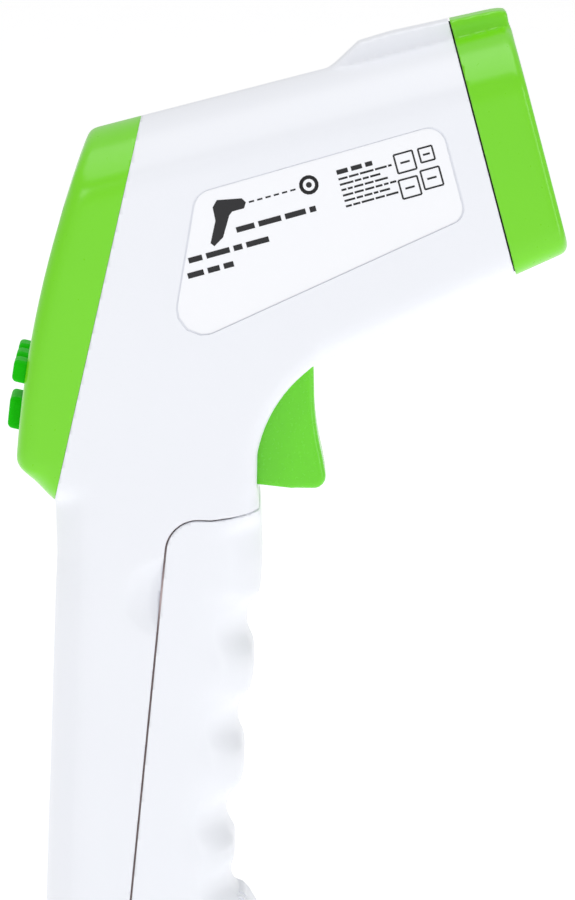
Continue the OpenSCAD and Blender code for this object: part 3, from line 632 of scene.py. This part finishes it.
w, h, mid = WINDOW
rear_view = (seam_p, Y, up_rear, facing_rear)
hole = divide(bm, pad_outline(w, h, WINDOW_R, (0, mid)), *rear_view)
recess(bm, hole, -seam_n * WINDOW_DEPTH)
opening = divide(bm, pad_outline(w - 2 * WINDOW_RIM, h - 2 * WINDOW_RIM, OPENING_R, (0, mid)), *rear_view)
bmesh.ops.delete(bm, geom=opening, context="FACES")
for row, y in ((0, -KEY_PITCH), (0, 0), (0, KEY_PITCH), (1, 0)):
    w, h = KEY_SIZE[row]
    around = pad_outline(w + 2 * KEY_PLAY, h + 2 * KEY_PLAY, KEY_HOLE_R, (y, KEY_ROWS[row]))
    hole = divide(bm, around, *rear_view)
    bmesh.ops.delete(bm, geom=hole, context="FACES")
to_object(bm, "skin_rear_bezel", "root", GREEN, "green_plastic", "rear_bezel")


# battery door
def in_box(lo, hi):
    return lambda p: (p[:, 0] > lo[0]) & (p[:, 0] < hi[0]) & (p[:, 2] > lo[1]) & (p[:, 2] < hi[1])


bm = part_of(in_box((-12, 2), (30, 102)))
inner = divide(bm, door_outline(0), *XZ)
drop = set(bm.faces) - set(inner)
bmesh.ops.delete(bm, geom=list(drop), context="FACES")
to_object(bm, "skin_battery_door", "door", DOOR_WHITE, "white_plastic", "battery_door")

# ledge behind the door's edge, and collar behind the gap of the front cap
bm = part_of(in_box((-12, 12), (30, 103)))
outer = divide(bm, door_outline(LEDGE_REACH), *XZ)
drop = set(bm.faces) - set(outer)
bmesh.ops.delete(bm, geom=list(drop), context="FACES")
hole = divide(bm, door_outline(-LEDGE_REACH), *XZ)
bmesh.ops.delete(bm, geom=hole, context="FACES")
keep_half(bm, Vector((0, 0, 14)), Vector((0, 0, -1)))
sink(bm, LEDGE)
# the ledge's pinkish white paints the warm shade seen in the door's gap
to_object(bm, "door_ledge", "root", LEDGE_WARM_SHADE, "white_plastic", thick=LEDGE_WALL)
# the collar is dark rubber, so the cap's gap reads as a dark line: painted shade behind the gap
bm = part_of(lambda p: np.abs(ahead(p) + CAP_D) < 4)
keep_half(bm, nose_p - nose_n * (CAP_D - LEDGE_REACH), nose_n)
keep_half(bm, nose_p - nose_n * (CAP_D + CAP_GAP + LEDGE_REACH), -nose_n)
sink(bm, LEDGE)
to_object(bm, "cap_collar", "root", RUBBER, None, thick=LEDGE_WALL)

# shells
for side, name in ((-1, "right_shell"), (1, "left_shell")):
    bm = part_of(lambda p: (p[:, 1] * side > -2) & (ahead(p) < -CAP_D + 2) & (behind(p) < 2))
    keep_half(bm, Y * side * PARTING, Y * -side)
    keep_half(bm, nose_p - nose_n * (CAP_D + CAP_GAP), nose_n)
    keep_half(bm, seam_p, seam_n)
    gone = divide(bm, door_outline(DOOR_GAP), *XZ)
    bmesh.ops.delete(bm, geom=gone, context="FACES")
    half, low, high = SLOT
    y0 = min(0, half * side) - 0.01
    y1 = max(0, half * side) + 0.01
    corners = [(y0, low), (y1, low), (y1, high), (y0, high)]
    slot = divide(bm, corners, (0, 0, 0), Y, (0, 0, 1), lambda c: c.x > 15)
    bmesh.ops.delete(bm, geom=slot, context="FACES")
    if side < 0:
        plate = divide(bm, label_outline(0), *XZ, side=lambda c: c.y < -17)
        recess(bm, plate, (0, LABEL_DEPTH, 0))
    else:
        for x, z in SCREWS:
            well = divide(bm, arc_points((x, z), WELL_R, 0, 345, 23), *XZ, side=lambda c: c.y > 6)
            recess(bm, well, (0, -WELL_DEPTH, 0))

            def in_well(c, x=x, z=z):
                return math.hypot(c.x - x, c.z - z) < WELL_R - 0.01 and c.y > 2

            hole = divide(bm, arc_points((x, z), SCREW_HOLE_R, 0, 330, 11), *XZ, side=in_well, margin=0.1)
            bmesh.ops.delete(bm, geom=[f for f in hole if f.is_valid], context="FACES")
    # thumb dish beside the door
    x, z, cy, r = DISH
    for v in bm.verts:
        d = math.hypot(v.co.x - x, v.co.z - z)
        if d < 12:
            depth = cy - math.sqrt(max(r * r - d * d, 0))
            v.co.y = side * float(smin(abs(v.co.y), depth, 0.3))
    to_object(bm, "skin_" + name, "root", WHITE, "white_plastic", name)


# ---------------------------------------------------------------- trigger
def trigger_outline():
    front = arc_points(TRIGGER_FACE_C, TRIGGER_FACE_R, 183.03, 193.7, 9)
    pts = [(34.1, 126.0, 0.3, 1.4)] + [(x, z, 0, 1.4) for x, z in front]
    pts += [(37.1, 100.4, 3.2, 1.4), (30.0, 100.5, 3, 0.8), (22.3, 101.4, 0.5, 0.8),
            (18.9, 106.0, 1, 0.6), (20, 116, 2, 0.6), (25.2, 126.2, 1, 0.6), (29.5, 133.2, 2.5, 0.6),
            (33.0, 130.0, 1, 1.0)]
    return fillet(pts)


t_pts, t_rnd = trigger_outline()
t_sd, t_r = outline_fields(t_pts, t_rnd, (14, 96), (42, 138), 0.1, 8)
bm = bm_from(*polygonise(lambda x, y, z: round_box(t_sd(x, z), np.abs(y) - TRIGGER_HALF_W, t_r(x, z)),
                         (16, -7.6, 98), (40, 7.6, 136), 0.4))
to_object(bm, "skin_trigger", "trigger", TRIGGER_GREEN, "green_plastic", "trigger", thick=0)


def slab(bm, outline, y0, y1):
    """A closed plate between two planes of y, drawn on the side view."""
    rings = [[bm.verts.new((x, y, z)) for x, z in outline] for y in (y0, y1)]
    bm.faces.new(rings[0])
    bm.faces.new(rings[1][::-1])
    n = len(outline)
    for i in range(n):
        bm.faces.new((rings[0][i], rings[1][i], rings[1][(i + 1) % n], rings[0][(i + 1) % n]))


# ---------------------------------------------------------------- keys
def key_field(y0, row):
    """Distance field of one key: a softly rounded cap that follows the rear face, and its flange."""
    w, h = KEY_SIZE[row]
    seat = KEY_SEAT[row]

    def field(x, y, z):
        dx, dz = x - SEAM[0], z - SEAM[1]
        out = dz * math.sin(SEAM_LEAN) - dx * math.cos(SEAM_LEAN)
        up = dx * math.sin(SEAM_LEAN) + dz * math.cos(SEAM_LEAN)
        rect = round_box(np.abs(y - y0) - w / 2, np.abs(up - KEY_ROWS[row]) - h / 2, 1.1)
        n = np.hypot(x - REAR_C[0], z - REAR_C[1]) - REAR_R - KEY_OUT
        cap = np.maximum(round_box(n, rect, 1.0), seat - 0.6 - out)
        flange = np.maximum(rect - 0.5, np.abs(out - seat + 0.5) - 0.5)
        return np.minimum(cap, flange)

    return field


for key, y, row in (("left", KEY_PITCH, 0), ("center", 0, 0), ("right", -KEY_PITCH, 0), ("set", 0, 1)):
    mid = seam_p + up_rear * KEY_ROWS[row] + seam_n * 12
    w, h = KEY_SIZE[row]
    lo = (mid.x - 6, y - w / 2 - 1.2, mid.z - h / 2 - 2.8)
    hi = (mid.x + 6, y + w / 2 + 1.2, mid.z + h / 2 + 2.8)
    bm = bm_from(*polygonise(key_field(y, row), lo, hi, 0.3))
    to_object(bm, "skin_key_" + key, "key_" + key, KEY_GREEN, "green_plastic", "button_" + key, thick=0)

# ---------------------------------------------------------------- hinge: lugs on the foot, knuckle on door
lug = [(HINGE[0] - 4, 1.0), (HINGE[0] + 1, 1.0)] + arc_points(HINGE, LUG_R, 0, 180, 12)
knuckle = [(HINGE[0] + 2.2, HINGE[1] - 1.9), (HINGE[0] + 2.2, HINGE[1] + 0.4)]
knuckle += arc_points(HINGE, KNUCKLE_R, 20, 300, 16)
bm = bmesh.new()
for side in (-1, 1):
    slab(bm, lug, LUG_Y[0] * side, LUG_Y[1] * side)
bmesh.ops.recalc_face_normals(bm, faces=bm.faces[:])
to_object(bm, "hinge_lugs", "root", WHITE, "white_plastic", thick=0)
bm = bmesh.new()
slab(bm, knuckle, -KNUCKLE_Y, KNUCKLE_Y)
bmesh.ops.recalc_face_normals(bm, faces=bm.faces[:])
to_object(bm, "door_knuckle", "door", DOOR_WHITE, "white_plastic", thick=0)

# ---------------------------------------------------------------- side label
bm = bmesh.new()
slab(bm, label_outline(0.45), -HALF_W + 0.40, -HALF_W + 0.22)
bmesh.ops.recalc_face_normals(bm, faces=bm.faces[:])
to_object(bm, "skin_side_label", "root", LABEL_MAT, "label_film", "side_label", thick=0)

# ---------------------------------------------------------------- print on the label
PRINT_DIR = math.radians(15.5)
PRINT_AT = LABEL[0][:2]
TARGET_AT = (22.9, -4.6)


def on_label(points):
    c, s = math.cos(PRINT_DIR), math.sin(PRINT_DIR)
    return [(PRINT_AT[0] + a * c - b * s, PRINT_AT[1] + a * s + b * c) for a, b in points]


def bar(a0, a1, b, height):
    return on_label([(a0, b - height / 2), (a1, b - height / 2), (a1, b + height / 2), (a0, b + height / 2)])


def stroke(p, q, width):
    d = Vector(q) - Vector(p)
    d.normalize()
    n = Vector((-d.y, d.x)) * width / 2
    return on_label([(p[0] - n.x, p[1] - n.y), (q[0] - n.x, q[1] - n.y), (q[0] + n.x, q[1] + n.y),
                     (p[0] + n.x, p[1] + n.y)])


rng = np.random.default_rng(7)
inks = []


def dashes(a0, a1, b, height, mean):
    """A line of short bars, as a stand-in for a line of print."""
    a = a0
    while a < a1 - 0.3 * mean:
        length = min(mean * rng.uniform(0.5, 1.5), a1 - a)
        inks.append(bar(a, a + length, b, height))
        a += length + 0.75 * height


# a plain thermometer outline with its beam and a round target
inks.append(on_label([
    (4.0, -2.6), (9.0, -3.6), (9.6, -4.6), (8.9, -5.7), (6.4, -5.7), (5.6, -6.3), (3.2, -10.3), (1.0, -11.6),
    (0.4, -10.8), (2.6, -6.6), (2.8, -3.8)]))
for k in range(6):
    inks.append(bar(10.2 + 1.75 * k, 11.3 + 1.75 * k, -4.75, 0.35))
ring = arc_points(TARGET_AT, 2.0, 0, 337.5, 15)
core = arc_points(TARGET_AT, 1.25, 0, 337.5, 15)
for k in range(16):
    j = (k + 1) % 16
    inks.append(on_label([ring[k], ring[j], core[j], core[k]]))
inks.append(on_label(arc_points(TARGET_AT, 0.6, 0, 330, 11)))
dashes(6.2, 23.0, -9.6, 1.15, 3.4)
dashes(-4.9, 14.0, -13.1, 1.15, 3.6)
dashes(-5.9, 4.4, -16.1, 1.15, 2.6)
dashes(29.0, 36.5, -3.7, 0.95, 3.0)
for k, end in enumerate((40.2, 37.8, 39.6, 40.4, 38.6, 40.6)):
    dashes(29.0, end, -5.15 - 1.15 * k, 0.42, 1.9)
# plain square tokens, each with a short bar across, beside the lines
for (a, b), size in (((43.0, -5.3), 3.9), ((47.6, -4.9), 2.9), ((42.6, -10.6), 3.9), ((47.4, -9.9), 3.9)):
    s = size / 2
    for p, q in (((-s, -s), (s, -s)), ((s, -s), (s, s)), ((s, s), (-s, s)), ((-s, s), (-s, -s))):
        inks.append(stroke((a + p[0], b + p[1]), (a + q[0], b + q[1]), 0.36))
    inks.append(stroke((a - 0.5 * s, b), (a + 0.5 * s, b), 0.4))
bm = bmesh.new()
for outline in inks:
    slab(bm, outline, -HALF_W + 0.185, -HALF_W + 0.225)
bmesh.ops.recalc_face_normals(bm, faces=bm.faces[:])
to_object(bm, "label_print", "root", INK, "label_film", thick=0)

# ---------------------------------------------------------------- finishes of the pieces kept from the frame
FINISH = {
    "nose_gasket": RUBBER, "door_pin": STEEL, "lcd_window": GLASS, "lcd_frame": DARK, "lcd_panel": LCD,
    "lcd_backlight": BACKLIGHT, "zebra_strips": RUBBER, "main_pcb": BOARD, "mcu_chip": CHIP, "smd_parts": SMD,
    "tact_switches": CHIP, "buzzer": DARK, "pcb_screws": STEEL, "cable_plugs": NYLON,
    "actuator_left": CHIP, "actuator_center": CHIP, "actuator_right": CHIP, "actuator_set": CHIP,
    "trigger_pin": STEEL, "trigger_spring": STEEL, "trigger_switch": CHIP, "trigger_cable": WIRE_DARK,
    "sensor_shroud": DARK, "sensor_gasket": RUBBER, "sensor_holder": BRASS, "thermopile_can": STEEL,
    "infrared_window": FILTER, "thermopile_pins": BRASS, "sensor_pcb": BOARD, "sensor_cable": WIRE_GREY,
    "holder_screws": STEEL, "battery_tray": TRAY, "battery_left": CELL, "battery_right": CELL,
    "bridge_contact": STEEL, "plus_contact": STEEL, "minus_contact": STEEL, "battery_springs": STEEL,
    "battery_leads": WIRE_RED, "case_screws": STEEL}
ROUNDED = {"battery_tray": 0.2,
           "lcd_frame": 0.2, "buzzer": 0.2, "mcu_chip": 0.08, "tact_switches": 0.12, "cable_plugs": 0.2,
           "trigger_switch": 0.2, "lcd_window": 0.12, "case_screws": 0.12, "sensor_holder": 0.15}
for node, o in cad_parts.items():
    if node not in FINISH:
        continue
    o.data.materials.clear()
    o.data.materials.append(FINISH[node])
    if node in ROUNDED:
        weld = o.modifiers.new("weld", "WELD")
        weld.merge_threshold = 0.01 * MM
        bevel = o.modifiers.new("edge", "BEVEL")
        bevel.width = ROUNDED[node] * MM
        bevel.segments = 3
        bevel.limit_method = "ANGLE"
        bevel.angle_limit = math.radians(40)
        bevel.harden_normals = True

# ---------------------------------------------------------------- stage
floor_mat = material("floor_white", (0.9, 0.9, 0.905), 0.6, 0.02, 60, 0.004, glow=0.42)
bm = bmesh.new()
bmesh.ops.create_grid(bm, x_segments=2, y_segments=2, size=3)
bmesh.ops.translate(bm, vec=(0, 0, -0.0002), verts=bm.verts[:])
me = bpy.data.meshes.new("floor")
bm.to_mesh(me)
bm.free()
floor = bpy.data.objects.new("floor", me)
me.materials.append(floor_mat)
bpy.context.scene.collection.objects.link(floor)


def softbox(name, place, aim, size, power):
    """A rectangular lamp at a place, turned to face another."""
    lamp = bpy.data.lights.new(name, "AREA")
    lamp.shape = "RECTANGLE"
    lamp.size, lamp.size_y = size
    lamp.energy = power
    o = bpy.data.objects.new(name, lamp)
    o.location = place
    o.rotation_euler = (Vector(aim) - Vector(place)).to_track_quat("-Z", "Y").to_euler()
    bpy.context.scene.collection.objects.link(o)


softbox("key", place=(-0.45, -0.9, 0.55), aim=(0.03, 0, 0.11), size=(0.3, 0.3), power=0.9)
softbox("top", place=(0.03, 0.0, 1.25), aim=(0.03, 0, 0.11), size=(0.9, 0.9), power=4.6)
softbox("fill", place=(0.95, -0.6, 0.2), aim=(0.03, 0, 0.09), size=(0.14, 0.5), power=1.2)
SKY = 0.61              # strength of the even light all round
world = bpy.data.worlds.new("studio")
bpy.context.scene.world = world
world.use_nodes = True
world.node_tree.nodes["Background"].inputs["Color"].default_value = (1, 1, 1, 1)
world.node_tree.nodes["Background"].inputs["Strength"].default_value = SKY
bpy.context.scene.view_settings.view_transform = "Standard"
bpy.context.scene.view_settings.look = "None"

# The viewer looks slightly down, square to the parting plane
ELEVATION = math.radians(10.2)
TARGET = Vector((0.02865, 0.0, 0.1075))
DISTANCE = 1.2
LENS = 360.6            # focal length in millimetres
cam = bpy.data.cameras.new("camera")
cam.sensor_fit = "HORIZONTAL"
cam.sensor_width = 36
cam.lens = LENS
cam.clip_end = 20
camera = bpy.data.objects.new("camera", cam)
camera.location = TARGET + DISTANCE * Vector((0, -math.cos(ELEVATION), math.sin(ELEVATION)))
camera.rotation_euler = (math.pi / 2 - ELEVATION, 0, 0)
bpy.context.scene.collection.objects.link(camera)
bpy.context.scene.camera = camera
